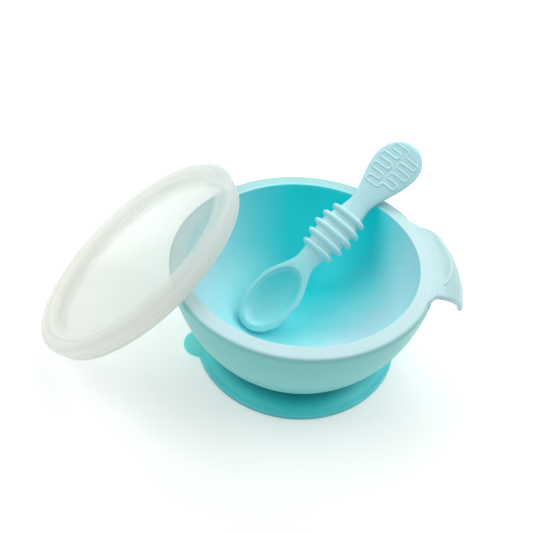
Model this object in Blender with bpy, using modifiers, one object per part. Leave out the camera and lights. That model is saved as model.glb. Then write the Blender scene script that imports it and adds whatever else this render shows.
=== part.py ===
"""Baby's suction bowl with its lid and spoon, as five separate pieces.

The bowl stands on a suction base, its thumb lip pointing along +X.  The lid leans on the rim
with its lower edge on the table, and the spoon rests in the bowl.  Metres, +Z up, table at Z = 0.
"""
import math

import bmesh
import bpy
import numpy as np
from mathutils import Matrix, Vector

MM = 0.001
GAP = 0.3 * MM                       # clearance between pieces that touch

# Where the bowl's own axis stands, so that the whole set is centred on the origin
BOWL_X = 26.0 * MM
BOWL_Y = -7.6 * MM

# Bowl
RIM_HEIGHT = 55.8 * MM
RIM_INNER_R = 52.0 * MM
RIM_OUTER_R = 59.6 * MM
RIM_EDGE_FILLET = 1.9 * MM
RIM_INNER_FILLET = 0.5 * MM
WALL_ARC_R = 76.0 * MM               # the outer wall is one arc, centred beyond the axis
WALL_ARC_CENTRE_R = -16.2 * MM
WALL_ARC_CENTRE_Z = 59.5 * MM
INSIDE_DEPTH = 42.6 * MM
INSIDE_POWER = 2.6                   # superellipse power of the inside, 2 is an ellipse

# Thumb lip
LIP_ROOT_R = 54.6 * MM
LIP_FLAT_R = 58.9 * MM                # the lip bends down from here
LIP_BEND_R = 14.6 * MM
LIP_BEND = math.radians(84.0)
LIP_TAIL = 1.6 * MM                  # straight run below the bend
LIP_THICKNESS = 2.6 * MM
LIP_WIDTH = (29.0, 22.3, 20.8, 18.9, 17.0, 16.2, 14.0)       # half sweep in degrees,
LIP_WIDTH_AT = (0.0, 0.12, 0.3, 0.5, 0.7, 0.88, 1.0)         # at these shares of the way down
LIP_BELOW_RIM = 0.15 * MM

# Suction base
BASE_TOP_Z = 6.5 * MM
NECK_R = 38.4 * MM
FOOT_R = 48.9 * MM
FOOT_EDGE_Z = 2.3 * MM
FOOT_FACE_INNER_R = 44.5 * MM
CAVITY_HEIGHT = 4.4 * MM
CAVITY_TOP_R = 30.0 * MM

# Release tab
TAB_AZIMUTH = math.radians(-172.0)
TAB_CENTRE_R = 47.0 * MM
TAB_LOBE_R = 8.4 * MM
TAB_BOTTOM_Z = 0.4 * MM
TAB_THICKNESS = 2.2 * MM
TAB_EDGE_BEVEL = 0.8 * MM

# Lid, in its own frame: the top of its ring is Z = 0
LID_R = 59.2 * MM
LID_WALL = 1.1 * MM
LID_HEIGHT = 9.8 * MM
LID_FOOT_R = 56.6 * MM               # the skirt narrows to stand on the rim's flat top
LID_EDGE_FILLET = 0.4 * MM
LID_RECESS = 2.4 * MM
LID_RECESS_R = 46.5 * MM
LID_RING_INNER_R = 51.4 * MM
LID_PLUG_R = 51.7 * MM               # the locating wall goes just inside the rim
LID_PLUG_DEPTH = 10.3 * MM
LID_LEAN = math.radians(38.3)
LID_LEAN_AZIMUTH = math.radians(171.6)
LID_CENTRE_AZIMUTH = math.radians(168.9)

# Spoon, in its own frame: +X from the tip to the end of the handle, +Z out of its face
SPOON_LENGTH = 120.6 * MM
SPOON_TIP = Vector((-25.05, -9.24, 17.76)) * MM
SPOON_AZIMUTH = math.radians(40.5)
SPOON_TILT = math.radians(28.4)
SPOON_ROLL = math.radians(13.0)
SPOON_RIBS = 5
SPOON_FIRST_RIB = 50.3 * MM
SPOON_RIB_PITCH = 5.6 * MM
SPOON_RIB_HALF_WIDTH = 1.5 * MM
SPOON_RIB_HEIGHT = 2.6 * MM
SPOON_UNDER_POWER = 2.8              # the underside's sections are fuller than an ellipse
SPOON_HOLLOW_CENTRE = 19.6 * MM
SPOON_HOLLOW_SIZE = Vector((16.6, 9.9, 4.2)) * MM    # half length, half width, depth

ROUND_STEPS = 48
MERGE = 1e-5


# --- profiles and small helpers ---------------------------------------------------------------

def fillet_outline(corners, segments=4):
    """Outline through (r, z, fillet) corners; a corner with a fillet becomes an arc."""
    points = []
    last = len(corners) - 1
    for i, (r, z, fillet) in enumerate(corners):
        here = Vector((r, z))
        if fillet == 0.0 or i in (0, last):
            points.append(here)
            continue
        back = (Vector(corners[i - 1][:2]) - here).normalized()
        ahead = (Vector(corners[i + 1][:2]) - here).normalized()
        half = back.angle(ahead) / 2
        reach = fillet / math.tan(half)
        centre = here + (back + ahead).normalized() * fillet / math.sin(half)
        start = here + back * reach - centre
        turn = start.angle_signed(here + ahead * reach - centre)
        for k in range(segments + 1):
            a = -turn * k / segments
            spin = Matrix.Rotation(a, 2)
            points.append(centre + spin @ start)
    return points


def material(name, colour, roughness, alpha=1.0, subsurface=0.0):
    made = bpy.data.materials.new(name)
    made.use_nodes = True
    shader = made.node_tree.nodes["Principled BSDF"]
    shader.inputs["Base Color"].default_value = (*colour, 1.0)
    shader.inputs["Roughness"].default_value = roughness
    shader.inputs["Metallic"].default_value = 0.0
    shader.inputs["Alpha"].default_value = alpha
    shader.inputs["Subsurface Weight"].default_value = subsurface
    return made


def collection(name):
    made = bpy.data.collections.new(name)
    bpy.context.scene.collection.children.link(made)
    return made


def add_object(name, mesh, group, look=None):
    made = bpy.data.objects.new(name, mesh)
    group.objects.link(made)
    if look:
        mesh.materials.append(look)
    return made


def turned(name, outline, group, look):
    """A closed turned solid: the outline starts and ends on the axis, outer side downwards."""
    mesh = bpy.data.meshes.new(name)
    verts = [(p.x, 0.0, p.y) for p in outline]
    mesh.from_pydata(verts, [(i, i + 1) for i in range(len(verts) - 1)], [])
    made = add_object(name, mesh, group, look)
    screw = made.modifiers.new("Turn", "SCREW")
    screw.axis = "Z"
    screw.steps = ROUND_STEPS
    screw.render_steps = ROUND_STEPS
    screw.use_merge_vertices = True
    screw.merge_threshold = MERGE
    screw.use_smooth_shade = True
    return made


def make_cutter(made):
    made.hide_render = True
    made.display_type = "WIRE"
    return made


def boolean(made, cutter, operation):
    step = made.modifiers.new(cutter.name, "BOOLEAN")
    step.operation = operation
    step.solver = "EXACT"
    step.object = cutter


def smooth(mesh, angle=40.0):
    mesh.shade_smooth()
    mesh.set_sharp_from_angle(angle=math.radians(angle))


# --- bowl with its thumb lip -------------------------------------------------------------------

def inside_outline(steps=12):
    """Superellipse from the middle of the floor up to the rim."""
    points = []
    for k in range(steps + 1):
        a = math.pi / 2 * k / steps
        r = RIM_INNER_R * math.sin(a) ** (2 / INSIDE_POWER)
        z = RIM_HEIGHT - INSIDE_DEPTH * math.cos(a) ** (2 / INSIDE_POWER)
        points.append(Vector((r, z)))
    points[-1] = Vector((RIM_INNER_R, RIM_HEIGHT - RIM_INNER_FILLET))
    return points


def wall_radius(z):
    rise = WALL_ARC_CENTRE_Z - z
    return WALL_ARC_CENTRE_R + math.sqrt(WALL_ARC_R ** 2 - rise ** 2)


def bowl_outline(steps=8):
    rim = fillet_outline([
        (RIM_INNER_R, RIM_HEIGHT - 2 * RIM_INNER_FILLET, 0.0),
        (RIM_INNER_R, RIM_HEIGHT, RIM_INNER_FILLET),
        (RIM_OUTER_R, RIM_HEIGHT, RIM_EDGE_FILLET),
        (RIM_OUTER_R, RIM_HEIGHT - 2 * RIM_EDGE_FILLET, 0.0),
    ])[1:-1]
    top = RIM_HEIGHT - 2.2 * RIM_EDGE_FILLET
    bottom = BASE_TOP_Z + GAP
    wall = []
    for k in range(steps + 1):
        z = top + (bottom - top) * k / steps
        wall.append(Vector((wall_radius(z), z)))
    return inside_outline()[:-1] + rim + wall + [Vector((0.0, bottom))]


def lip_half_angle(travel):
    """Half the lip's sweep about the bowl's axis, from its root (0) to its lower edge (1)."""
    corner = math.sqrt(max(0.0, 1.0 - max(0.0, (travel - 0.9) / 0.1) ** 2))
    return math.radians(np.interp(travel, LIP_WIDTH_AT, LIP_WIDTH)) * (0.82 + 0.18 * corner)


def lip_outline(steps=7):
    """The lip's upper face in section: along the rim's top, round the bend and down."""
    top = RIM_HEIGHT - LIP_BELOW_RIM
    points = [(r, top) for r in (LIP_ROOT_R, RIM_OUTER_R - RIM_EDGE_FILLET, LIP_FLAT_R)]
    for k in range(1, steps + 1):
        a = LIP_BEND * k / steps
        points.append((LIP_FLAT_R + LIP_BEND_R * math.sin(a), top - LIP_BEND_R * (1 - math.cos(a))))
    r, z = points[-1]
    for run in (0.5 * LIP_TAIL, LIP_TAIL):
        points.append((r + run * math.cos(LIP_BEND), z - run * math.sin(LIP_BEND)))
    return [Vector(p) for p in points]


def thumb_lip(group):
    """The lip's outer face as a bent grid, thickened inwards."""
    outline = lip_outline()
    travelled = [0.0]
    for before, after in zip(outline, outline[1:]):
        travelled.append(travelled[-1] + (after - before).length)
    rows, columns = len(outline), 13
    grid = bmesh.new()
    bmesh.ops.create_grid(grid, x_segments=rows - 1, y_segments=columns - 1, size=0.5)
    root = travelled[1]
    for vert in grid.verts:
        row = round((vert.co.x + 0.5) * (rows - 1))
        across = vert.co.y * 2
        travel = max(0.0, (travelled[row] - root) / (travelled[-1] - root))
        azimuth = lip_half_angle(travel) * across
        r = outline[row].x
        vert.co = (r * math.cos(azimuth), r * math.sin(azimuth), outline[row].y)
    bmesh.ops.recalc_face_normals(grid, faces=grid.faces)
    grid.faces.ensure_lookup_table()
    if max(grid.faces, key=lambda f: f.calc_center_median().z).normal.z < 0:
        bmesh.ops.reverse_faces(grid, faces=grid.faces)
    mesh = bpy.data.meshes.new("thumb_lip")
    grid.to_mesh(mesh)
    grid.free()
    lip = add_object("thumb_lip", mesh, group)
    thick = lip.modifiers.new("Thickness", "SOLIDIFY")
    thick.thickness = LIP_THICKNESS
    thick.offset = -1.0
    thick.use_even_offset = True
    soft = lip.modifiers.new("Round edges", "BEVEL")
    soft.width = 1.1 * MM
    soft.segments = 2
    soft.limit_method = "ANGLE"
    soft.angle_limit = math.radians(50)
    return make_cutter(lip)


def build_bowl(group, tools, look):
    bowl = turned("bowl", bowl_outline(), group, look)
    bowl.rotation_euler.z = math.pi / ROUND_STEPS      # facets never line up with the lip's edges
    boolean(bowl, thumb_lip(tools), "UNION")


# --- suction base and its release tab ----------------------------------------------------------

def build_base(group, look):
    outline = fillet_outline([
        (0.0, BASE_TOP_Z, 0.0),
        (NECK_R, BASE_TOP_Z, 0.0),
        (FOOT_R - 2.5 * MM, FOOT_EDGE_Z + 0.5 * MM, 4.0 * MM),
        (FOOT_R, FOOT_EDGE_Z, 0.7 * MM),
        (FOOT_R, 0.0, 0.8 * MM),
        (FOOT_FACE_INNER_R, 0.0, 0.0),
        (CAVITY_TOP_R, CAVITY_HEIGHT, 6.0 * MM),
        (0.0, CAVITY_HEIGHT, 0.0),
    ])
    turned("suction_base", outline, group, look)


def build_tab(group, tools, look):
    """A flat round lobe, cut back by the foot's own circle."""
    shape = bmesh.new()
    bmesh.ops.create_cone(shape, cap_ends=True, segments=40, radius1=TAB_LOBE_R,
                          radius2=TAB_LOBE_R, depth=TAB_THICKNESS)
    offset = TAB_CENTRE_R - FOOT_R
    height = TAB_BOTTOM_Z + TAB_THICKNESS / 2
    bmesh.ops.translate(shape, verts=shape.verts, vec=(offset, 0.0, 0.0))
    mesh = bpy.data.meshes.new("release_tab")
    shape.to_mesh(mesh)
    shape.free()
    tab = add_object("release_tab", mesh, group, look)
    hinge = Vector((math.cos(TAB_AZIMUTH), math.sin(TAB_AZIMUTH), 0.0)) * (FOOT_R + GAP)
    tab.location = hinge + Vector((0.0, 0.0, height))
    tab.rotation_euler.z = TAB_AZIMUTH
    edge = tab.modifiers.new("Round edge", "BEVEL")
    edge.width = TAB_EDGE_BEVEL
    edge.segments = 3
    edge.limit_method = "ANGLE"
    foot = bmesh.new()
    bmesh.ops.create_cone(foot, cap_ends=True, segments=2 * ROUND_STEPS, radius1=FOOT_R + GAP,
                          radius2=FOOT_R + GAP, depth=4 * TAB_THICKNESS)
    foot_mesh = bpy.data.meshes.new("foot_circle")
    foot.to_mesh(foot_mesh)
    foot.free()
    circle = make_cutter(add_object("foot_circle", foot_mesh, tools))
    circle.location.z = height
    boolean(tab, circle, "DIFFERENCE")


# --- lid ---------------------------------------------------------------------------------------

def lid_outline():
    """Shallow cover: recessed panel, raised ring, outer skirt and an inner locating wall."""
    under = -LID_RECESS - LID_WALL
    return fillet_outline([
        (0.0, -LID_RECESS, 0.0),
        (LID_RECESS_R, -LID_RECESS, 1.5 * MM),
        (LID_RING_INNER_R, 0.0, 1.2 * MM),
        (LID_R, 0.0, 2.4 * MM),
        (LID_FOOT_R, -LID_HEIGHT, LID_EDGE_FILLET),
        (LID_FOOT_R - LID_WALL, -LID_HEIGHT, LID_EDGE_FILLET),
        (LID_R - LID_WALL, -LID_WALL, 1.4 * MM),
        (LID_PLUG_R, -LID_WALL, LID_EDGE_FILLET),
        (LID_PLUG_R, -LID_PLUG_DEPTH, LID_EDGE_FILLET),
        (LID_PLUG_R - LID_WALL, -LID_PLUG_DEPTH, LID_EDGE_FILLET),
        (LID_PLUG_R - LID_WALL, under, 0.6 * MM),
        (0.0, under, 0.0),
    ], segments=3)


def lid_place():
    """Centre and tilt of the leaning lid.

    Its lowest edge is on the table.  Its panel's underside clears the rim's top edge by GAP:
    the highest rim point towards the lean fixes how far out the centre stands.
    """
    s, c = math.sin(LID_LEAN), math.cos(LID_LEAN)
    foot_r = LID_FOOT_R - LID_EDGE_FILLET
    height = foot_r * s + (LID_HEIGHT - LID_EDGE_FILLET) * c + LID_EDGE_FILLET
    edge_r = RIM_OUTER_R - RIM_EDGE_FILLET
    stand_off = LID_RECESS + LID_WALL + 2 * GAP
    out = edge_r + (c * (RIM_HEIGHT - height) + stand_off) / s
    out /= math.cos(LID_LEAN_AZIMUTH - LID_CENTRE_AZIMUTH)
    centre = Vector((out * math.cos(LID_CENTRE_AZIMUTH), out * math.sin(LID_CENTRE_AZIMUTH), height))
    tilt = Matrix.Rotation(LID_LEAN_AZIMUTH, 4, "Z") @ Matrix.Rotation(LID_LEAN, 4, "Y")
    return Matrix.Translation(centre) @ tilt


def build_lid(group, look):
    lid = turned("lid", lid_outline(), group, look)
    lid.matrix_world = lid_place()


# --- spoon -------------------------------------------------------------------------------------

def smoothstep(low, high, value):
    t = min(1.0, max(0.0, (value - low) / (high - low)))
    return t * t * (3 - 2 * t)


def spoon_section(s):
    """Half width, height above and depth below the axis at distance s from the tip."""
    bowl_end, rib_mid, paddle_mid = 17.5 * MM, 63.0 * MM, 106.5 * MM
    neck = 4.9 * MM
    if s < bowl_end:
        scoop = 12.1 * MM * math.sqrt(max(0.0, 1 - ((bowl_end - s) / bowl_end) ** 2.3))
    else:
        scoop = neck + (12.1 * MM - neck) * (1 - smoothstep(23.5 * MM, 44.5 * MM, s))
    grip = neck + 4.0 * MM * math.exp(-((s - rib_mid) / (12.5 * MM)) ** 2)
    if s > paddle_mid:
        reach = SPOON_LENGTH - paddle_mid
        paddle = 12.1 * MM * math.sqrt(max(0.0, 1 - ((s - paddle_mid) / reach) ** 2.2))
    else:
        paddle = 5.4 * MM + 6.7 * MM * smoothstep(79 * MM, paddle_mid, s)
    if s < bowl_end:
        half_width = scoop
    elif s < rib_mid:
        half_width = max(scoop, grip)
    else:
        half_width = max(grip, paddle) if s < paddle_mid else paddle
    ends = min(1.0, half_width / (7.0 * MM))
    up = (1.5 * MM + 1.9 * MM * math.exp(-((s - rib_mid) / (15 * MM)) ** 2)) * ends ** 0.7
    scooped = min(1.0, half_width / (12.0 * MM)) ** 1.5 * (1 - smoothstep(20 * MM, 43 * MM, s))
    down = up + 5.0 * MM * scooped
    down += 1.0 * MM * math.exp(-((s - rib_mid) / (16 * MM)) ** 2) * ends
    down += 1.2 * MM * smoothstep(78 * MM, 95 * MM, s) * ends
    return half_width, up, down


def spoon_stations():
    """Close at the tip, the ribs and the end, wider between."""
    marks = [0.25, 1.2, 3, 6, 10, 14, 18, 22, 26, 30, 34, 38, 42, 46]
    stations = [m * MM for m in marks]
    for k in range(SPOON_RIBS):
        crest = SPOON_FIRST_RIB + k * SPOON_RIB_PITCH
        for side in (-1.0, -0.5, 0.5, 1.0):
            stations.append(crest + side * SPOON_RIB_HALF_WIDTH)
    marks = [78, 82, 86, 90, 95, 100, 105, 110, 113, 116]
    return stations + [m * MM for m in marks] + [SPOON_LENGTH - e * MM for e in (2.0, 0.6, 0.1)]


def rib_swell(s):
    """Extra girth of the nearest rib at distance s."""
    nearest = round((s - SPOON_FIRST_RIB) / SPOON_RIB_PITCH)
    nearest = min(SPOON_RIBS - 1, max(0, nearest))
    away = abs(s - SPOON_FIRST_RIB - nearest * SPOON_RIB_PITCH) / SPOON_RIB_HALF_WIDTH
    return SPOON_RIB_HEIGHT * max(0.0, 1 - away ** 2) if away < 0.99 else 0.0


def spoon_ring(body, s, around=20):
    half_width, up, down = spoon_section(s)
    swell = rib_swell(s)
    ring = []
    for k in range(around):
        a = 2 * math.pi * k / around
        c, upright = math.cos(a), math.sin(a)
        if upright > 0:
            ring.append(body.verts.new((s, (half_width + swell) * c, (up + 0.6 * swell) * upright)))
            continue
        full = 2 / SPOON_UNDER_POWER
        y = (half_width + swell) * math.copysign(abs(c) ** full, c)
        ring.append(body.verts.new((s, y, -(down + 0.9 * swell) * abs(upright) ** full)))
    return ring


def build_spoon(group, tools, look):
    """Loft along the axis through sections of changing shape, then the hollow is cut."""
    body = bmesh.new()
    rings = [spoon_ring(body, s) for s in spoon_stations()]
    for one, two in zip(rings, rings[1:]):
        for k in range(len(one)):
            n = (k + 1) % len(one)
            body.faces.new((one[k], two[k], two[n], one[n]))
    body.faces.new(rings[0])
    body.faces.new(list(reversed(rings[-1])))
    bmesh.ops.recalc_face_normals(body, faces=body.faces)
    mesh = bpy.data.meshes.new("spoon")
    body.to_mesh(mesh)
    body.free()
    smooth(mesh)
    spoon = add_object("spoon", mesh, group, look)
    ball = bmesh.new()
    bmesh.ops.create_uvsphere(ball, u_segments=24, v_segments=14, radius=1.0)
    bmesh.ops.scale(ball, verts=ball.verts, vec=SPOON_HOLLOW_SIZE)
    bmesh.ops.translate(ball, verts=ball.verts, vec=(SPOON_HOLLOW_CENTRE, 0.0, 1.7 * MM))
    ball_mesh = bpy.data.meshes.new("spoon_hollow")
    ball.to_mesh(ball_mesh)
    ball.free()
    hollow = make_cutter(add_object("spoon_hollow", ball_mesh, tools))
    place = (Matrix.Translation(SPOON_TIP) @ Matrix.Rotation(SPOON_AZIMUTH, 4, "Z")
             @ Matrix.Rotation(-SPOON_TILT, 4, "Y") @ Matrix.Rotation(SPOON_ROLL, 4, "X"))
    spoon.matrix_world = place
    hollow.matrix_world = place
    boolean(spoon, hollow, "DIFFERENCE")


# --- assembly ----------------------------------------------------------------------------------

def main():
    for old in list(bpy.data.objects):
        bpy.data.objects.remove(old, do_unlink=True)
    parts = collection("suction_bowl")
    tools = collection("cutters")
    aqua = (0.33, 0.68, 0.70)
    silicone = {name: material(name, aqua, 0.5, subsurface=0.1)
                for name in ("bowl_silicone", "base_silicone", "tab_silicone", "spoon_silicone")}
    milky = material("lid_plastic", (0.86, 0.89, 0.86), 0.35, alpha=0.55)

    stand = bpy.data.objects.new("bowl_axis", None)
    parts.objects.link(stand)
    build_bowl(parts, tools, silicone["bowl_silicone"])
    build_base(parts, silicone["base_silicone"])
    build_tab(parts, tools, silicone["tab_silicone"])
    build_lid(parts, milky)
    build_spoon(parts, tools, silicone["spoon_silicone"])
    bpy.context.view_layer.update()
    for piece in list(parts.objects) + list(tools.objects):
        if piece is not stand:
            piece.parent = stand
    stand.location = (BOWL_X, BOWL_Y, 0.0)


main()
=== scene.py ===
"""Looks of the suction bowl, its suction base, release tab, cover and spoon.

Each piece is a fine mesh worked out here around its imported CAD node, in metres, +Z up.
"""

import math

import bmesh
import bpy
import numpy as np
from mathutils import Matrix, Vector, kdtree


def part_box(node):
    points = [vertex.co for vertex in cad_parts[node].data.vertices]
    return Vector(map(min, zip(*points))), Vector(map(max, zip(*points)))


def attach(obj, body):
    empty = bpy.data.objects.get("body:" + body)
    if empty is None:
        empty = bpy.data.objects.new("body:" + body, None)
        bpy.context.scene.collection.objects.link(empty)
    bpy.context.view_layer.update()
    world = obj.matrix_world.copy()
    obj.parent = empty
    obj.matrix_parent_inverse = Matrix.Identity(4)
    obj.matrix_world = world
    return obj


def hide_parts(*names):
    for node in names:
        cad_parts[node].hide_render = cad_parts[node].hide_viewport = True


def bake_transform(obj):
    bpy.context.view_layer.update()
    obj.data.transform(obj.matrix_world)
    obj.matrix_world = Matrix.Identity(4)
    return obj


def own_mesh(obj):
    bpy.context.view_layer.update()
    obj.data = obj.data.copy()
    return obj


MM = 0.001
SAME_POINT = 1e-7                      # two outline points this close are one
UNIT = Vector((1.0, 1.0, 1.0))
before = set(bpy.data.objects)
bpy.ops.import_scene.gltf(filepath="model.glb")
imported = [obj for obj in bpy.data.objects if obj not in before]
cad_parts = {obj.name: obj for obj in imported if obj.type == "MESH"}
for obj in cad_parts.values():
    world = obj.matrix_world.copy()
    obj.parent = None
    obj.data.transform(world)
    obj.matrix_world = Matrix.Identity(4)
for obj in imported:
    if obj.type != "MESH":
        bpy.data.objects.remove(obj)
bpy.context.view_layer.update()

# --- sizes, from the frame where it gives them --------------------------------------------------

base_low, base_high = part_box("suction_base")
_, bowl_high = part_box("bowl")
AXIS = Vector(((base_low.x + base_high.x) / 2, (base_low.y + base_high.y) / 2, 0.0))

# Bowl
RIM_Z = bowl_high.z
RIM_INNER_R = 52.0 * MM
RIM_OUTER_R = 59.6 * MM
RIM_EDGE_FILLET = 1.9 * MM
RIM_INNER_FILLET = 0.5 * MM
WALL_ARC_R = 76.0 * MM
WALL_ARC_CENTRE = Vector((-16.2, 59.5)) * MM
INSIDE_DEPTH = 42.6 * MM
INSIDE_POWER = 2.6
BOWL_FOOT_Z = base_high.z

# Thumb lip
LIP_FLAT_R = 58.9 * MM                 # the lip bends down from here
LIP_BEND_R = 14.6 * MM
LIP_BEND = math.radians(84.0)
LIP_TAIL = 1.6 * MM                    # straight run below the bend
LIP_THICKNESS = 2.6 * MM
LIP_EDGE_R = 1.1 * MM
LIP_BELOW_RIM = 0.15 * MM
LIP_WIDTH = (29.0, 22.3, 20.8, 18.9, 17.0, 16.2, 14.0)       # half sweep in degrees,
LIP_WIDTH_AT = (0.0, 0.12, 0.3, 0.5, 0.7, 0.88, 1.0)         # at these shares of the way down

LIP_SPACING = 0.2 * MM                 # of the points along its section
LIP_ROOT_EXTRA = 0.9 * MM              # thickness it gains at its root
# Raised grip lines: place on the way down, sweep across, bow of the line, height
LIP_RIDGES = (
    (0.43, (-0.66, 0.74), 0.34, 0.5 * MM),
    (0.61, (-0.62, 0.5), 0.10, 0.25 * MM),
    (0.80, (-0.5, 0.3), 0.05, 0.20 * MM),
)
LIP_RIDGE_HALF_WIDTH = 0.75 * MM

# Suction base and its tab
FOOT_R = (base_high.x - base_low.x) / 2
FOOT_EDGE_Z = 2.3 * MM
NECK_R = 38.4 * MM
FOOT_FACE_INNER_R = 44.5 * MM
CAVITY_HEIGHT = 4.4 * MM
CAVITY_TOP_R = 30.0 * MM
TAB_AZIMUTH = math.radians(-172.0)
TAB_CENTRE_R = 47.0 * MM
TAB_LOBE_R = 8.4 * MM
TAB_BOTTOM_Z = 0.4 * MM
TAB_THICKNESS = 2.2 * MM

# Cover, in its own frame: the top of its ring is Z = 0
LID_R = 59.2 * MM
LID_WALL = 1.1 * MM
LID_HEIGHT = 9.8 * MM
LID_FOOT_R = 56.6 * MM
LID_RECESS = 2.4 * MM
LID_RECESS_R = 46.5 * MM
LID_RING_INNER_R = 51.4 * MM
LID_PLUG_R = 51.7 * MM
LID_PLUG_DEPTH = 10.3 * MM
LID_EDGE_FILLET = 0.4 * MM
LID_LEAN = math.radians(38.3)
LID_LEAN_AZIMUTH = math.radians(171.6)

# Spoon, in its own frame: +X from the tip to the end of the handle, +Z out of its face
SPOON_LENGTH = 120.6 * MM
SPOON_TIP = AXIS + Vector((-25.05, -9.24, 17.76)) * MM
SPOON_AZIMUTH = math.radians(40.5)
SPOON_TILT = math.radians(28.4)
SPOON_ROLL = math.radians(13.0)
SPOON_RIBS = 5
SPOON_FIRST_RIB = 50.3 * MM
SPOON_RIB_PITCH = 5.6 * MM
SPOON_RIB_HALF_WIDTH = 1.6 * MM
SPOON_RIB_HEIGHT = 2.6 * MM
SPOON_UNDER_POWER = 2.8                # the underside's sections are fuller than an ellipse

SCOOP_WIDEST = 17.5 * MM
SCOOP_HALF_WIDTH = 12.1 * MM
RIB_MIDDLE = 63.0 * MM
PADDLE_WIDEST = 106.5 * MM
PADDLE_HALF_WIDTH = 12.1 * MM
SPOON_NECK = 4.9 * MM
PADDLE_LINE_START = 92.5 * MM
PADDLE_LINE_PITCH = 6.8 * MM
PADDLE_LINE_INNER = 1.1 * MM
PADDLE_LINE_MARGIN = 2.4 * MM
PADDLE_LINE_ROUNDING = 2.2 * MM
PADDLE_LINE_HALF_WIDTH = 0.6 * MM
PADDLE_LINE_HEIGHT = 0.36 * MM
HOLLOW_CENTRE = 19.6 * MM
HOLLOW_SIZE = Vector((17.0, 10.2, 4.2)) * MM      # half length, half width, depth

# Colours. The real silicone is one aqua. Here it differs by place, because set_tint also writes
# the photographed view's light and shade into the pieces' own colour, vertex by vertex.
# Painted shade: the saturated aqua of the bowl's shaded inside, also laid on the foot beside the bowl
SHADED_DEEP_AQUA = (0.002, 0.90, 0.95)
# Painted light: the paler aqua of the lit left, near and right inside walls
LIT_INNER_AQUA = (0.55, 0.84, 0.90)
OUTER_AQUA = (0.16, 0.59, 0.58)
SHADE_AQUA = (0.002, 0.34, 0.37)
# Painted light: the tab's aqua lifted above the rest of the silicone, standing in for light that
# reaches it
LIT_TAB_AQUA = (0.20, 0.95, 0.93)
# Painted light and painted highlight: rim top and lip, the outer wall's right side, the foot's edge
LIT_PALE_AQUA = (0.50, 0.73, 0.76)
# Painted shade: the deeper aqua of the spoon's scoop, shaded in the bowl
SHADED_SCOOP_AQUA = (0.02, 0.74, 0.78)
# Painted light: the paler aqua of the spoon's lit handle and brim
LIT_HANDLE_AQUA = (0.54, 0.83, 0.87)
MILK = (0.99, 0.985, 0.965, 1.0)
MILK_SHADE = (0.94, 0.95, 0.925, 1.0)

# Camera at the photographed view, on a 36 mm sensor
CAMERA_PLACE = Vector((0.11, -234.83, 268.75)) * MM
CAMERA_TURN = [math.radians(a) for a in (45.89, -2.263, -0.285)]
CAMERA_LENS = 47.28


# --- helpers ------------------------------------------------------------------------------------

def smoothstep(low, high, value):
    t = np.clip((value - low) / (high - low), 0.0, 1.0)
    return t * t * (3 - 2 * t)


def arc_outline(corners, segments=6):
    """Outline through (r, z, fillet) corners, as an array; a corner with a fillet is an arc."""
    points = []
    for i, (r, z, fillet) in enumerate(corners):
        here = Vector((r, z))
        if fillet == 0.0 or i in (0, len(corners) - 1):
            points.append(here)
            continue
        back = (Vector(corners[i - 1][:2]) - here).normalized()
        ahead = (Vector(corners[i + 1][:2]) - here).normalized()
        half = back.angle(ahead) / 2
        reach = fillet / math.tan(half)
        centre = here + (back + ahead).normalized() * fillet / math.sin(half)
        start = here + back * reach - centre
        turn = start.angle_signed(here + ahead * reach - centre)
        for k in range(segments + 1):
            points.append(centre + Matrix.Rotation(-turn * k / segments, 2) @ start)
    return np.array([tuple(p) for p in points])


def refined(outline, step):
    """The outline with its straight runs longer than step divided, so that no face is a long sliver.

    Where one fillet ends and the next begins its point comes twice, and is kept once.
    """
    points = [outline[0]]
    for before, after in zip(outline, outline[1:]):
        length = np.linalg.norm(after - before)
        if length < SAME_POINT:
            continue
        parts = max(1, int(length / step))
        for k in range(1, parts + 1):
            points.append(before + (after - before) * k / parts)
    return np.array(points)


def add_piece(name, verts, faces, place=Matrix.Identity(4)):
    """A mesh object whose place is in its vertices, with its faces pointing out."""
    mesh = bpy.data.meshes.new(name)
    mesh.from_pydata([tuple(v) for v in verts], [], faces)
    mesh.transform(place)
    work = bmesh.new()
    work.from_mesh(mesh)
    bmesh.ops.recalc_face_normals(work, faces=work.faces)
    work.to_mesh(mesh)
    work.free()
    mesh.shade_smooth()
    piece = bpy.data.objects.new(name, mesh)
    bpy.context.scene.collection.objects.link(piece)
    return piece


def turned(name, outline, steps, place):
    """A closed turned solid from an outline that starts and ends on the axis."""
    inner = outline[1:-1]
    rows = len(inner)
    turn = np.arange(steps) * 2 * math.pi / steps
    r, z = inner[:, 0][:, None], inner[:, 1][:, None]
    grid = np.stack([r * np.cos(turn), r * np.sin(turn), z + 0 * turn], -1).reshape(-1, 3)
    verts = np.vstack([grid, [[0, 0, outline[0][1]]], [[0, 0, outline[-1][1]]]])
    first, last = rows * steps, rows * steps + 1
    faces = []
    for j in range(steps):
        n = (j + 1) % steps
        faces.append((first, j, n))
        faces.append((last, (rows - 1) * steps + n, (rows - 1) * steps + j))
        for i in range(rows - 1):
            faces.append((i * steps + j, (i + 1) * steps + j, (i + 1) * steps + n, i * steps + n))
    return add_piece(name, verts, faces, place)


def subdivide(piece, levels):
    """Applies Catmull-Clark subdivision, so that detail can be raised on the result."""
    step = piece.modifiers.new("Subdivision", "SUBSURF")
    step.levels = levels
    step.render_levels = levels
    graph = bpy.context.evaluated_depsgraph_get()
    mesh = bpy.data.meshes.new_from_object(piece.evaluated_get(graph))
    piece.modifiers.clear()
    piece.data = mesh
    mesh.shade_smooth()


def along(path, spacing):
    """Points a spacing apart on the polyline path, given as an array."""
    lengths = np.linalg.norm(np.diff(path, axis=0), axis=1)
    marks = np.concatenate([[0.0], np.cumsum(lengths)])
    wanted = np.linspace(0.0, marks[-1], max(2, int(marks[-1] / spacing) + 1))
    return np.stack([np.interp(wanted, marks, path[:, k]) for k in range(path.shape[1])], -1)


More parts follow.
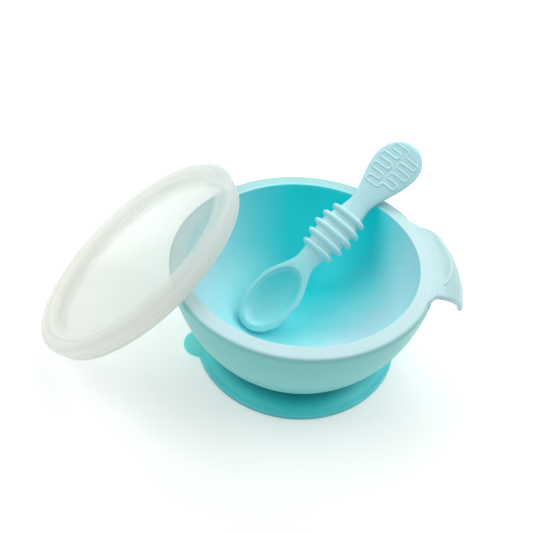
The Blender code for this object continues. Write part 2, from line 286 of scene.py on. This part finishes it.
def emboss(piece, path, half_width, height):
    """Raises a rounded ridge on the mesh along path, an array of points on its surface."""
    mesh = piece.data
    path = along(path, half_width / 6)
    tree = kdtree.KDTree(len(path))
    for index, point in enumerate(path):
        tree.insert(point, index)
    tree.balance()
    low, high = Vector(path.min(0)) - UNIT * half_width, Vector(path.max(0)) + UNIT * half_width
    moves = []
    for vert in mesh.vertices:
        at = vert.co
        if any(at[k] < low[k] or at[k] > high[k] for k in range(3)):
            continue
        away = tree.find(at)[2] / half_width
        if away < 1.0:
            moves.append((vert, vert.normal * height * float(1 - smoothstep(0.15, 1.0, away))))
    for vert, move in moves:
        vert.co += move
    mesh.update()


# --- bowl with its thumb lip --------------------------------------------------------------------

def wall_radius(z):
    return WALL_ARC_CENTRE.x + np.sqrt(WALL_ARC_R ** 2 - (WALL_ARC_CENTRE.y - z) ** 2)


def bowl_outline():
    """Inside from the floor up, over the rim, down the outer wall; and the rim edge's two rows."""
    a = np.linspace(0.0, math.pi / 2, 25)
    r = RIM_INNER_R * np.sin(a) ** (2 / INSIDE_POWER)
    z = RIM_Z - INSIDE_DEPTH * np.cos(a) ** (2 / INSIDE_POWER)
    inside = np.stack([r, z], -1)[:-1]
    inside = inside[inside[:, 1] < RIM_Z - 2 * RIM_INNER_FILLET]
    fillet_rows = 5
    rim = arc_outline([
        (RIM_INNER_R, RIM_Z - 2 * RIM_INNER_FILLET, 0.0),
        (RIM_INNER_R, RIM_Z, RIM_INNER_FILLET),
        (RIM_OUTER_R, RIM_Z, RIM_EDGE_FILLET),
        (RIM_OUTER_R, RIM_Z - 2 * RIM_EDGE_FILLET, 0.0),
    ], segments=fillet_rows - 1)[1:-1]
    flat = [rim[4] + (rim[5] - rim[4]) * k for k in (0.1, 0.4, 0.7, 0.92)]
    rim = np.insert(rim, fillet_rows, flat, axis=0)
    edge_start = len(inside) + fillet_rows + len(flat)
    top = RIM_Z - 1.55 * RIM_EDGE_FILLET
    heights = np.linspace(top, BOWL_FOOT_Z + 1.2 * MM, 12)
    wall = np.stack([wall_radius(heights), heights], -1)
    foot_r = wall_radius(BOWL_FOOT_Z)
    foot = np.array([
        (wall_radius(BOWL_FOOT_Z + 0.4 * MM), BOWL_FOOT_Z + 0.4 * MM),
        (foot_r, BOWL_FOOT_Z),
        (foot_r - 1.0 * MM, BOWL_FOOT_Z),
        (foot_r * 0.6, BOWL_FOOT_Z),
        (0.0, BOWL_FOOT_Z),
    ])
    outline = np.vstack([inside, rim, wall, foot])
    return outline, edge_start, edge_start + fillet_rows


def lip_half_angle(travel):
    """Half the lip's sweep about the bowl's axis, from its root (0) to its lower edge (1)."""
    corner = math.sqrt(max(0.0, 1.0 - max(0.0, (travel - 0.9) / 0.1) ** 2))
    return math.radians(np.interp(travel, LIP_WIDTH_AT, LIP_WIDTH)) * (0.82 + 0.18 * corner)


def lip_path():
    """The lip's upper face in section from its root out and down: points, normals, travel."""
    top = RIM_Z - LIP_BELOW_RIM
    turn = np.linspace(0.0, LIP_BEND, 30)
    bend = np.stack([LIP_FLAT_R + LIP_BEND_R * np.sin(turn), top - LIP_BEND_R * (1 - np.cos(turn))], -1)
    tail = bend[-1] + LIP_TAIL * np.array([math.cos(LIP_BEND), -math.sin(LIP_BEND)])
    path = along(np.vstack([[RIM_OUTER_R - RIM_EDGE_FILLET, top], bend, tail]), LIP_SPACING)
    ahead = np.gradient(path, axis=0)
    ahead /= np.linalg.norm(ahead, axis=1)[:, None]
    normal = np.stack([-ahead[:, 1], ahead[:, 0]], -1)
    return path, normal, ahead, np.linspace(0.0, 1.0, len(path))


def lip_point(travel, across, depth=0.0, bulge=0.0):
    """A point of the lip: across is -1 to 1 over its width, depth is below its upper face."""
    path, normal, ahead, marks = LIP_PATH
    at = np.array([np.interp(travel, marks, path[:, k]) for k in (0, 1)])
    out = np.array([np.interp(travel, marks, normal[:, k]) for k in (0, 1)])
    on = np.array([np.interp(travel, marks, ahead[:, k]) for k in (0, 1)])
    r, z = at - out * depth + on * bulge
    azimuth = lip_half_angle(travel) * across
    return np.array([r * math.cos(azimuth), r * math.sin(azimuth), z])


LIP_PATH = lip_path()
LIP_LENGTH = LIP_SPACING * (len(LIP_PATH[0]) - 1)


def lip_stations():
    """Places of the lip's cross rows on the way down, closer at its root."""
    close = [0.02, 0.045, 0.08, 0.12, 0.165]
    return close + list(np.linspace(0.21, 0.97, 20))


def build_bowl():
    """One grid turned about the axis; the lip is drawn out of the rim's edge in the same mesh."""
    outline, edge_a, edge_b = bowl_outline()
    root_angle = lip_half_angle(0.0)
    lip_columns = 44
    other_columns = 72
    fine = np.linspace(-root_angle, root_angle, lip_columns + 1)
    coarse = np.linspace(root_angle, 2 * math.pi - root_angle, other_columns + 2)[1:-1]
    turn = np.concatenate([fine, coarse])
    inner = outline[1:-1]
    rows, columns = len(inner), len(turn)
    r, z = inner[:, 0][:, None], inner[:, 1][:, None]
    grid = np.stack([r * np.cos(turn), r * np.sin(turn), z + 0 * turn], -1).reshape(-1, 3)
    verts = [tuple(v) for v in grid]
    verts += [(0.0, 0.0, outline[0][1]), (0.0, 0.0, outline[-1][1])]
    pole_in, pole_out = rows * columns, rows * columns + 1
    top_row, low_row = edge_a - 1, edge_b - 1
    depth_rows = low_row - top_row
    faces = []
    for j in range(columns):
        n = (j + 1) % columns
        faces.append((pole_in, n, j))
        faces.append((pole_out, (rows - 1) * columns + j, (rows - 1) * columns + n))
        for i in range(rows - 1):
            if j < lip_columns and top_row <= i < low_row:
                continue
            faces.append((i * columns + j, i * columns + n, (i + 1) * columns + n,
                          (i + 1) * columns + j))

    def section(travel, whole):
        """Vertex index by (depth row, column) round the lip's section, or over its whole end."""
        made = {}
        for i in range(depth_rows + 1):
            share = i / depth_rows
            round_in = math.sqrt(max(0.0, 1.0 - (2 * share - 1) ** 2))
            for j in range(lip_columns + 1):
                edge = j in (0, lip_columns)
                if not (whole or edge or i in (0, depth_rows)):
                    continue
                across = 2 * j / lip_columns - 1
                radius = LIP_FLAT_R * lip_half_angle(travel)
                across *= 1 - (LIP_EDGE_R / radius) * (1 - round_in)
                thick = LIP_THICKNESS + LIP_ROOT_EXTRA * math.exp(-travel / 0.05)
                bulge = LIP_EDGE_R * round_in if whole else 0.0
                verts.append(tuple(lip_point(travel, across, share * thick, bulge)))
                made[i, j] = len(verts) - 1
        return made

    def ring(made):
        order = [(0, j) for j in range(lip_columns + 1)]
        order += [(i, lip_columns) for i in range(1, depth_rows + 1)]
        order += [(depth_rows, j) for j in range(lip_columns - 1, -1, -1)]
        order += [(i, 0) for i in range(depth_rows - 1, 0, -1)]
        return [made[key] for key in order]

    root = {(i, j): (top_row + i) * columns + j
            for i in range(depth_rows + 1) for j in range(lip_columns + 1)}
    before = ring(root)
    for travel in lip_stations():
        after = ring(section(travel, False))
        for k in range(len(before)):
            n = (k + 1) % len(before)
            faces.append((before[k], before[n], after[n], after[k]))
        before = after
    end = section(1.0 - LIP_EDGE_R / LIP_LENGTH, True)
    after = ring(end)
    for k in range(len(before)):
        n = (k + 1) % len(before)
        faces.append((before[k], before[n], after[n], after[k]))
    for i in range(depth_rows):
        for j in range(lip_columns):
            faces.append((end[i, j], end[i, j + 1], end[i + 1, j + 1], end[i + 1, j]))
    bowl = add_piece("silicone_bowl", verts, faces, Matrix.Translation(AXIS))
    subdivide(bowl, 2)
    for middle, sweep, bow, height in LIP_RIDGES:
        across = np.linspace(*sweep, 60)
        travel = middle - bow * (across - 0.15) ** 2
        ridge = np.array([lip_point(t, a) for t, a in zip(travel, across)]) + np.array(AXIS)
        emboss(bowl, ridge, LIP_RIDGE_HALF_WIDTH, height)
    return bowl


# --- suction base and its release tab -----------------------------------------------------------

def build_base():
    """Turned foot: neck, sloping flange with an upright edge, hollow underneath."""
    outline = arc_outline([
        (0.0, BOWL_FOOT_Z, 0.0),
        (NECK_R - 0.6 * MM, BOWL_FOOT_Z, 0.0),
        (NECK_R + 0.6 * MM, BOWL_FOOT_Z - 0.6 * MM, 0.8 * MM),
        (FOOT_R - 2.5 * MM, FOOT_EDGE_Z + 0.5 * MM, 6.0 * MM),
        (FOOT_R, FOOT_EDGE_Z, 0.6 * MM),
        (FOOT_R, 0.0, 0.7 * MM),
        (FOOT_FACE_INNER_R, 0.0, 0.4 * MM),
        (CAVITY_TOP_R, CAVITY_HEIGHT, 6.0 * MM),
        (0.0, CAVITY_HEIGHT, 0.0),
    ], segments=7)
    steps = 192
    return turned("suction_foot", refined(outline, 2.0 * MM), steps, Matrix.Translation(AXIS))


def build_tab():
    """A round lobe with a soft edge; its root is sunk into the foot, as one moulding."""
    half = TAB_THICKNESS / 2
    edge = np.linspace(0.0, math.pi, 13)
    rounding = 0.95 * half
    rims = np.stack([TAB_LOBE_R - rounding + rounding * np.sin(edge), half * np.cos(edge)], -1)
    spread = np.linspace(0.0, TAB_LOBE_R - rounding, 8)[:-1]
    top = np.stack([spread, np.full(7, half) + 0.15 * MM * (1 - (spread / TAB_LOBE_R) ** 2)], -1)
    bottom = np.stack([spread[::-1], np.full(7, -half)], -1)
    outline = np.vstack([top, rims, bottom])
    reach = Vector((math.cos(TAB_AZIMUTH), math.sin(TAB_AZIMUTH), 0.0)) * TAB_CENTRE_R
    centre = AXIS + reach + Vector((0.0, 0.0, TAB_BOTTOM_Z + half))
    return turned("pull_tab", outline, 96, Matrix.Translation(centre))


# --- cover --------------------------------------------------------------------------------------

def lid_place():
    """From the frame: the cover's own axis and the middle of its box."""
    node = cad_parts["lid"].data
    points = np.array([v.co for v in node.vertices])
    turn = Matrix.Rotation(LID_LEAN_AZIMUTH, 4, "Z") @ Matrix.Rotation(LID_LEAN, 4, "Y")
    local = points @ np.array(turn.to_3x3())
    low, high = local.min(0), local.max(0)
    centre = Vector(((low[0] + high[0]) / 2, (low[1] + high[1]) / 2, high[2]))
    return turn @ Matrix.Translation(centre)


def build_lid():
    """Sloping recess, ring with fine steps, tapering lined skirt, locating wall underneath."""
    under = -LID_RECESS - LID_WALL
    line = 0.28 * MM
    slope = (LID_R - LID_FOOT_R) / LID_HEIGHT

    def skirt(depth, out=0.0):
        return (LID_R - slope * depth + out, -depth)

    outline = arc_outline([
        (0.0, -LID_RECESS, 0.0),
        (LID_RECESS_R, -LID_RECESS, 2.0 * MM),
        (LID_RING_INNER_R - 0.6 * MM, -2.2 * line, 0.6 * MM),
        (LID_RING_INNER_R, -line, 0.3 * MM),
        (LID_RING_INNER_R + 0.5 * MM, 0.0, 0.3 * MM),
        (LID_RING_INNER_R + 1.3 * MM, 0.0, 0.25 * MM),
        (LID_RING_INNER_R + 1.7 * MM, -line, 0.2 * MM),
        (LID_RING_INNER_R + 3.6 * MM, -line, 0.2 * MM),
        (LID_RING_INNER_R + 3.9 * MM, -0.2 * line, 0.2 * MM),
        (LID_RING_INNER_R + 4.6 * MM, -0.2 * line, 0.2 * MM),
        (LID_R, -line, 2.2 * MM),
        (*skirt(3.4 * MM), 0.2 * MM),
        (*skirt(3.7 * MM, -line), 0.15 * MM),
        (*skirt(5.6 * MM, -line), 0.15 * MM),
        (*skirt(5.9 * MM), 0.2 * MM),
        (*skirt(6.6 * MM), 0.2 * MM),
        (*skirt(6.9 * MM, -2.6 * line), 0.15 * MM),
        (*skirt(8.6 * MM, -2.6 * line), 0.2 * MM),
        (*skirt(8.9 * MM), 0.25 * MM),
        (LID_FOOT_R, -LID_HEIGHT, LID_EDGE_FILLET),
        (LID_FOOT_R - LID_WALL, -LID_HEIGHT, LID_EDGE_FILLET),
        (LID_R - LID_WALL - 0.5 * MM, -LID_WALL - line, 1.4 * MM),
        (LID_PLUG_R, -LID_WALL - line, LID_EDGE_FILLET),
        (LID_PLUG_R, -LID_PLUG_DEPTH, LID_EDGE_FILLET),
        (LID_PLUG_R - LID_WALL, -LID_PLUG_DEPTH, LID_EDGE_FILLET),
        (LID_PLUG_R - LID_WALL, under, 0.6 * MM),
        (0.0, under, 0.0),
    ], segments=5)
    steps = 256
    return turned("cover", refined(outline, 3.0 * MM), steps, lid_place())


# --- spoon --------------------------------------------------------------------------------------

SPOON_PLACE = (Matrix.Translation(SPOON_TIP) @ Matrix.Rotation(SPOON_AZIMUTH, 4, "Z")
               @ Matrix.Rotation(-SPOON_TILT, 4, "Y") @ Matrix.Rotation(SPOON_ROLL, 4, "X"))


def spoon_half_width(s):
    """Half the spoon's width at distances s from the tip, ribs left out."""
    inward = np.clip((SCOOP_WIDEST - s) / SCOOP_WIDEST, 0.0, 1.0)
    tip = SCOOP_HALF_WIDTH * np.sqrt(np.maximum(0.0, 1 - inward ** 2.3))
    fall = 1 - smoothstep(23.5 * MM, 44.5 * MM, s)
    shoulder = SPOON_NECK + (SCOOP_HALF_WIDTH - SPOON_NECK) * fall
    scoop = np.where(s < SCOOP_WIDEST, tip, shoulder)
    grip = SPOON_NECK + 4.0 * MM * np.exp(-((s - RIB_MIDDLE) / (12.5 * MM)) ** 2)
    outward = np.clip((s - PADDLE_WIDEST) / (SPOON_LENGTH - PADDLE_WIDEST), 0.0, 1.0)
    end = PADDLE_HALF_WIDTH * np.sqrt(np.maximum(0.0, 1 - outward ** 2.2))
    widening = 5.4 * MM + 6.7 * MM * smoothstep(79 * MM, PADDLE_WIDEST, s)
    paddle = np.where(s > PADDLE_WIDEST, end, widening)
    front = np.where(s < SCOOP_WIDEST, scoop, soft_max(scoop, grip, 0.6 * MM))
    back = np.where(s < PADDLE_WIDEST, soft_max(grip, paddle, 0.6 * MM), paddle)
    return np.where(s < RIB_MIDDLE, front, back)


def soft_max(a, b, blend):
    """The larger of two values, rounded over where they cross."""
    return (a + b + np.sqrt((a - b) ** 2 + blend ** 2)) / 2 - blend / 4


def spoon_heights(s, half_width):
    """Height above and depth below the spoon's axis at the middle of its width."""
    ends = np.minimum(1.0, half_width / (7.0 * MM))
    up = (1.5 * MM + 1.9 * MM * np.exp(-((s - RIB_MIDDLE) / (15 * MM)) ** 2)) * ends ** 0.7
    scooped = np.minimum(1.0, half_width / (12.0 * MM)) ** 1.5 * (1 - smoothstep(20 * MM, 43 * MM, s))
    down = up + 5.0 * MM * scooped + 1.2 * MM * smoothstep(78 * MM, 95 * MM, s) * ends
    down += 1.0 * MM * np.exp(-((s - RIB_MIDDLE) / (16 * MM)) ** 2) * ends
    return up, down


def rib_swell(s):
    """Extra girth of the nearest rib at distances s."""
    nearest = np.clip(np.round((s - SPOON_FIRST_RIB) / SPOON_RIB_PITCH), 0, SPOON_RIBS - 1)
    away = np.abs(s - SPOON_FIRST_RIB - nearest * SPOON_RIB_PITCH) / SPOON_RIB_HALF_WIDTH
    return SPOON_RIB_HEIGHT * np.maximum(0.0, 1 - away ** 2.4) ** 0.75


def hollow_depth(s, y):
    """Depth of the scoop's hollow below the spoon's face, with a soft edge."""
    across = np.sqrt(((s - HOLLOW_CENTRE) / HOLLOW_SIZE.x) ** 2 + (y / HOLLOW_SIZE.y) ** 2)
    return HOLLOW_SIZE.z * np.clip(1 - across ** 2.8, 0.0, 1.0) ** 0.62


def face_power(s):
    """How domed the spoon's face is: flat at the scoop and the paddle, rounder at the grip."""
    return 0.34 + 0.3 * smoothstep(36 * MM, 48 * MM, s) - 0.1 * smoothstep(78 * MM, 90 * MM, s)


def paddle_line():
    """A closed winding line on the paddle's face: loops up one side and down the other."""
    turns = PADDLE_LINE_START + PADDLE_LINE_PITCH / 2 * np.arange(8)
    sides = []
    for side in (1.0, -1.0):
        column = []
        for k, (low, high) in enumerate(zip(turns, turns[1:])):
            outer = spoon_half_width(np.array([(low + high) / 2]))[0] - PADDLE_LINE_MARGIN
            across = side * (outer if k % 2 == (side < 0) else PADDLE_LINE_INNER)
            column += [(low, across), (high, across)]
        sides += column if side > 0 else column[::-1]
    spacing = 0.05 * MM
    path = along(np.array(sides + sides[:1]), spacing)[:-1]
    reach = int(PADDLE_LINE_ROUNDING / spacing)
    padded = np.pad(path, ((reach, reach), (0, 0)), mode="wrap")
    window = np.hanning(2 * reach + 1)
    s, y = [np.convolve(padded[:, k], window / window.sum(), "valid") for k in (0, 1)]
    half = spoon_half_width(s)
    up = spoon_heights(s, half)[0]
    return np.stack([s, y, up * (1 - (y / half) ** 2) ** (face_power(s) / 2)], -1)


def build_spoon():
    """Loft of closed sections along the axis, finer over the ribs and the paddle's face."""
    tip = SPOON_LENGTH * np.array([0.0005, 0.002, 0.005])
    stations = np.concatenate([
        tip,
        np.arange(1.2, 48.0, 0.32) * MM,
        np.arange(48.2, 76.0, 0.22) * MM,
        np.arange(76.3, 119.4, 0.3) * MM,
        SPOON_LENGTH - tip[::-1] * 2,
    ])
    upper, lower = 180, 44
    share = np.linspace(0.0, 1.0, upper + 1)[:-1]
    angles = np.concatenate([
        math.pi * (share - 0.11 * np.sin(2 * math.pi * share)),
        np.linspace(math.pi, 2 * math.pi, lower + 1)[:-1],
    ])
    around = len(angles)
    half = spoon_half_width(stations)
    up, down = spoon_heights(stations, half)
    swell = rib_swell(stations)
    cos, sin = np.cos(angles), np.sin(angles)
    full = 2 / SPOON_UNDER_POWER
    y = (half + swell)[:, None] * np.where(sin > 0, cos, np.sign(cos) * np.abs(cos) ** full)
    flat = np.abs(sin) ** np.where(sin > 0, face_power(stations)[:, None], full)
    height = np.where(sin > 0, (up + 0.6 * swell)[:, None], -(down + 0.9 * swell)[:, None])
    z = height * flat
    s = stations[:, None] + 0 * y
    z = np.where(sin > 0, z - hollow_depth(s, y), z)
    verts = np.stack([s, y, z], -1).reshape(-1, 3)
    faces = []
    for i in range(len(stations) - 1):
        for k in range(around):
            n = (k + 1) % around
            faces.append((i * around + k, (i + 1) * around + k, (i + 1) * around + n, i * around + n))
    last = (len(stations) - 1) * around
    faces.append(tuple(range(around)))
    faces.append(tuple(last + k for k in reversed(range(around))))
    spoon = add_piece("dipping_spoon", verts, faces, SPOON_PLACE)
    path = paddle_line() @ np.array(SPOON_PLACE)[:3, :3].T + np.array(SPOON_PLACE)[:3, 3]
    emboss(spoon, path, PADDLE_LINE_HALF_WIDTH, PADDLE_LINE_HEIGHT)
    return spoon


# --- materials ----------------------------------------------------------------------------------

def node_material(name):
    made = bpy.data.materials.new(name)
    made.use_nodes = True
    tree = made.node_tree
    return made, tree, tree.nodes["Principled BSDF"]


def silicone(name, roughness=0.5, grain=0.012):
    """Matt silicone: its tint attribute, slightly clouded, under a satin skin."""
    made, tree, shader = node_material(name)
    new, link = tree.nodes.new, tree.links.new
    place = new("ShaderNodeTexCoord")
    cloud = new("ShaderNodeTexNoise")
    cloud.inputs["Scale"].default_value = 60.0
    cloud.inputs["Detail"].default_value = 4.0
    link(place.outputs["Object"], cloud.inputs["Vector"])
    uneven = new("ShaderNodeMapRange")
    uneven.inputs["To Min"].default_value = 0.96
    uneven.inputs["To Max"].default_value = 1.04
    link(cloud.outputs["Fac"], uneven.inputs["Value"])
    tint = new("ShaderNodeAttribute")
    tint.attribute_name = "tint"
    tone = new("ShaderNodeVectorMath")
    tone.operation = "SCALE"
    link(tint.outputs["Color"], tone.inputs["Vector"])
    link(uneven.outputs["Result"], tone.inputs["Scale"])
    link(tone.outputs["Vector"], shader.inputs["Base Color"])
    fine = new("ShaderNodeTexNoise")
    fine.inputs["Scale"].default_value = 1400.0
    fine.inputs["Detail"].default_value = 2.0
    link(place.outputs["Object"], fine.inputs["Vector"])
    rough = new("ShaderNodeMapRange")
    rough.inputs["To Min"].default_value = roughness - 0.05
    rough.inputs["To Max"].default_value = roughness + 0.05
    link(fine.outputs["Fac"], rough.inputs["Value"])
    link(rough.outputs["Result"], shader.inputs["Roughness"])
    bump = new("ShaderNodeBump")
    bump.inputs["Strength"].default_value = 0.12
    bump.inputs["Distance"].default_value = grain * MM
    link(fine.outputs["Fac"], bump.inputs["Height"])
    link(bump.outputs["Normal"], shader.inputs["Normal"])
    shader.inputs["IOR"].default_value = 1.5
    shader.inputs["Coat Weight"].default_value = 0.5
    shader.inputs["Coat IOR"].default_value = 1.6
    shader.inputs["Coat Roughness"].default_value = 0.38
    shader.inputs["Subsurface Weight"].default_value = 0.3
    shader.inputs["Subsurface Radius"].default_value = (0.4, 1.0, 1.1)
    shader.inputs["Subsurface Scale"].default_value = 1.2 * MM
    return made


def set_tint(piece, base, *layers):
    """Per-vertex colour: base, then each (colour, amount per vertex) laid over it in turn."""
    tint = np.tile(np.array(base), (len(piece.data.vertices), 1))
    for colour, amount in layers:
        tint += (np.array(colour) - tint) * np.clip(amount, 0.0, 1.0)[:, None]
    layer = piece.data.color_attributes.new("tint", "FLOAT_COLOR", "POINT")
    layer.data.foreach_set("color", np.hstack([tint, np.ones((len(tint), 1))]).ravel())


def local_points(piece, place):
    """The piece's vertices as an array in the frame of place."""
    points = np.zeros(len(piece.data.vertices) * 3)
    piece.data.vertices.foreach_get("co", points)
    back = np.array(place.inverted())
    return points.reshape(-1, 3) @ back[:3, :3].T + back[:3, 3]


def tint_bowl(piece):
    """Painted highlight on the rim and lip; inside, painted shade deep in the middle and painted light
    pale at the left, near and right walls.

    The left, near and right terms are the photographed light, fixed to the bowl.
    """
    x, y, z = local_points(piece, Matrix.Translation(AXIS)).T
    r = np.hypot(x, y)
    below = RIM_Z - z
    depth = np.clip(below / INSIDE_DEPTH, 0.0, 2.0)
    inside = (r / RIM_INNER_R) ** INSIDE_POWER + depth ** INSIDE_POWER < 1.06
    left = np.clip((-x - 3 * MM) / (42 * MM), 0.0, 1.0)
    near = np.clip((11 * MM - y + 0.6 * x) / (40 * MM), 0.0, 1.0)
    right = np.clip((x - 37 * MM) / (18 * MM), 0.0, 1.0)
    light = (1 - (1 - left) * (1 - near) * (1 - right)) ** 1.3
    # painted light: the outer wall paler towards the right
    side = 0.5 * smoothstep(30 * MM, 58 * MM, x) * ~inside
    # painted highlight: the rim's top paler, fading down its edge and less at the back; the lip paler
    # as well
    edge = 0.65 * smoothstep(0.35 * MM, 0.02 * MM, below) + 0.35 * smoothstep(2.6 * MM, 0.2 * MM, below)
    top = edge * (1 - 0.6 * smoothstep(10 * MM, 57 * MM, y)) * (r > RIM_INNER_R - 0.1 * MM)
    lip = 0.9 * smoothstep(59.6 * MM, 61.0 * MM, r)
    set_tint(piece, OUTER_AQUA, (SHADED_DEEP_AQUA, inside.astype(float)), (LIT_INNER_AQUA, light * inside),
             (LIT_PALE_AQUA, side), (LIT_PALE_AQUA, np.maximum(top, lip)))


def tint_foot(piece):
    """Painted shade deep under the bowl, painted light paler towards the foot's edge, painted shade
    deep again on its side.
    """
    x, y, z = local_points(piece, Matrix.Translation(AXIS)).T
    r = np.hypot(x, y)
    set_tint(piece, SHADE_AQUA, (SHADED_DEEP_AQUA, smoothstep(NECK_R - 0.5 * MM, 46 * MM, r)),
             (LIT_PALE_AQUA, 0.25 * smoothstep(41 * MM, FOOT_R, r)),
             (SHADE_AQUA, 0.8 * smoothstep(FOOT_EDGE_Z, 0.7 * FOOT_EDGE_Z, z)))


def tint_spoon(piece):
    """Painted light: pale handle and pale scoop brim; painted shade: the scoop's hollow, deeper towards
    the handle.
    """
    s, y, _ = local_points(piece, SPOON_PLACE).T
    handle = 0.55 + 0.35 * smoothstep(34 * MM, 60 * MM, s)
    scoop = 0.5 - 0.4 * smoothstep(4 * MM, 32 * MM, s)
    hollow = smoothstep(1.0, 0.8, np.hypot((s - HOLLOW_CENTRE) / HOLLOW_SIZE.x, y / HOLLOW_SIZE.y))
    set_tint(piece, SHADED_SCOOP_AQUA, (LIT_HANDLE_AQUA, handle + (scoop - handle) * hollow))


def milky_plastic(name):
    """Translucent moulded plastic: clearer in the thin panel, milkier in the thick ring."""
    made, tree, shader = node_material(name)
    new, link = tree.nodes.new, tree.links.new
    place = new("ShaderNodeTexCoord")
    cloud = new("ShaderNodeTexNoise")
    cloud.inputs["Scale"].default_value = 45.0
    cloud.inputs["Detail"].default_value = 4.0
    link(place.outputs["Object"], cloud.inputs["Vector"])
    tone = new("ShaderNodeMix")
    tone.data_type = "RGBA"
    tone.inputs["A"].default_value = MILK
    tone.inputs["B"].default_value = MILK_SHADE
    link(cloud.outputs["Fac"], tone.inputs["Factor"])
    link(tone.outputs["Result"], shader.inputs["Base Color"])
    fine = new("ShaderNodeTexNoise")
    fine.inputs["Scale"].default_value = 900.0
    fine.inputs["Detail"].default_value = 2.0
    link(place.outputs["Object"], fine.inputs["Vector"])
    rough = new("ShaderNodeMapRange")
    rough.inputs["To Min"].default_value = 0.34
    rough.inputs["To Max"].default_value = 0.4
    link(fine.outputs["Fac"], rough.inputs["Value"])
    link(rough.outputs["Result"], shader.inputs["Roughness"])
    shader.inputs["IOR"].default_value = 1.45
    see = new("ShaderNodeBsdfTransparent")
    see.inputs["Color"].default_value = (0.94, 0.94, 0.925, 1.0)
    glow = new("ShaderNodeBsdfTranslucent")
    glow.inputs["Color"].default_value = MILK
    milk = new("ShaderNodeMixShader")
    milk.inputs["Fac"].default_value = 0.62
    link(shader.outputs["BSDF"], milk.inputs[1])
    link(glow.outputs["BSDF"], milk.inputs[2])
    haze = new("ShaderNodeAttribute")
    haze.attribute_name = "haze"
    mix = new("ShaderNodeMixShader")
    link(haze.outputs["Fac"], mix.inputs["Fac"])
    link(see.outputs["BSDF"], mix.inputs[1])
    link(milk.outputs["Shader"], mix.inputs[2])
    link(mix.outputs["Shader"], tree.nodes["Material Output"].inputs["Surface"])
    return made


def haze_lid(piece):
    """Share of milk: low in the panel, high on the outside of the ring and skirt."""
    x, y, z = local_points(piece, lid_place()).T
    r = np.hypot(x, y)
    ring = smoothstep(LID_RECESS_R, LID_RING_INNER_R, r)
    within_skirt = r < LID_R - 1.5 * LID_WALL + 0.27 * z
    under = smoothstep(-0.6 * MM, -1.0 * MM, z) * within_skirt
    haze = 0.36 + 0.42 * ring - 0.56 * ring * under
    layer = piece.data.attributes.new("haze", "FLOAT", "POINT")
    layer.data.foreach_set("value", haze)


def pale_floor(name):
    made, _, shader = node_material(name)
    shader.inputs["Base Color"].default_value = (0.9, 0.9, 0.9, 1.0)
    shader.inputs["Roughness"].default_value = 0.9
    shader.inputs["Emission Color"].default_value = (0.97, 1.0, 0.97, 1.0)
    shader.inputs["Emission Strength"].default_value = 0.32
    return made


# --- stage --------------------------------------------------------------------------------------

def build_stage():
    work = bmesh.new()
    bmesh.ops.create_grid(work, x_segments=1, y_segments=1, size=4.0)
    mesh = bpy.data.meshes.new("floor")
    work.to_mesh(mesh)
    work.free()
    floor = bpy.data.objects.new("floor", mesh)
    bpy.context.scene.collection.objects.link(floor)
    mesh.materials.append(pale_floor("floor_white"))


def area_light(name, place, size, power):
    """A rectangular softbox aimed at the middle of the set."""
    lamp = bpy.data.lights.new(name, "AREA")
    lamp.shape = "RECTANGLE"
    lamp.size, lamp.size_y = size
    lamp.energy = power
    made = bpy.data.objects.new(name, lamp)
    bpy.context.scene.collection.objects.link(made)
    made.location = place
    made.rotation_euler = (-Vector(place)).to_track_quat("-Z", "Y").to_euler()


def build_lights():
    area_light("softbox_back", (0.15, 0.85, 0.82), (1.3, 0.4), 6.6)
    area_light("softbox_left", (-0.7, 0.1, 0.9), (0.8, 0.8), 4.6)
    area_light("softbox_right", (0.7, 0.1, 0.9), (0.8, 0.8), 4.6)
    world = bpy.data.worlds.new("studio")
    world.use_nodes = True
    world.node_tree.nodes["Background"].inputs["Color"].default_value = (1.0, 1.0, 1.0, 1.0)
    world.node_tree.nodes["Background"].inputs["Strength"].default_value = 0.29
    bpy.context.scene.world = world


def build_camera():
    lens = bpy.data.cameras.new("camera")
    lens.lens = CAMERA_LENS
    lens.sensor_width = 36.0
    lens.clip_start = 0.01
    camera = bpy.data.objects.new("camera", lens)
    bpy.context.scene.collection.objects.link(camera)
    camera.location = CAMERA_PLACE
    camera.rotation_euler = CAMERA_TURN
    bpy.context.scene.camera = camera


# --- assembly -----------------------------------------------------------------------------------

def dress(piece, look, node):
    piece.data.materials.clear()
    piece.data.materials.append(look)
    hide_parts(node)
    return piece


bowl = dress(build_bowl(), silicone("bowl_silicone"), "bowl")
tint_bowl(bowl)
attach(bowl, "bowl_body")
foot = dress(build_base(), silicone("base_silicone"), "suction_base")
tint_foot(foot)
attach(foot, "base_body")
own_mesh(foot)
tab = dress(build_tab(), silicone("tab_silicone"), "release_tab")
set_tint(tab, LIT_TAB_AQUA)
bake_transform(tab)
lid = dress(build_lid(), milky_plastic("lid_plastic"), "lid")
haze_lid(lid)
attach(lid, "lid_body")
spoon = dress(build_spoon(), silicone("spoon_silicone"), "spoon")
tint_spoon(spoon)
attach(spoon, "spoon_body")

build_stage()
build_lights()
build_camera()
bpy.context.scene.view_settings.view_transform = "Standard"
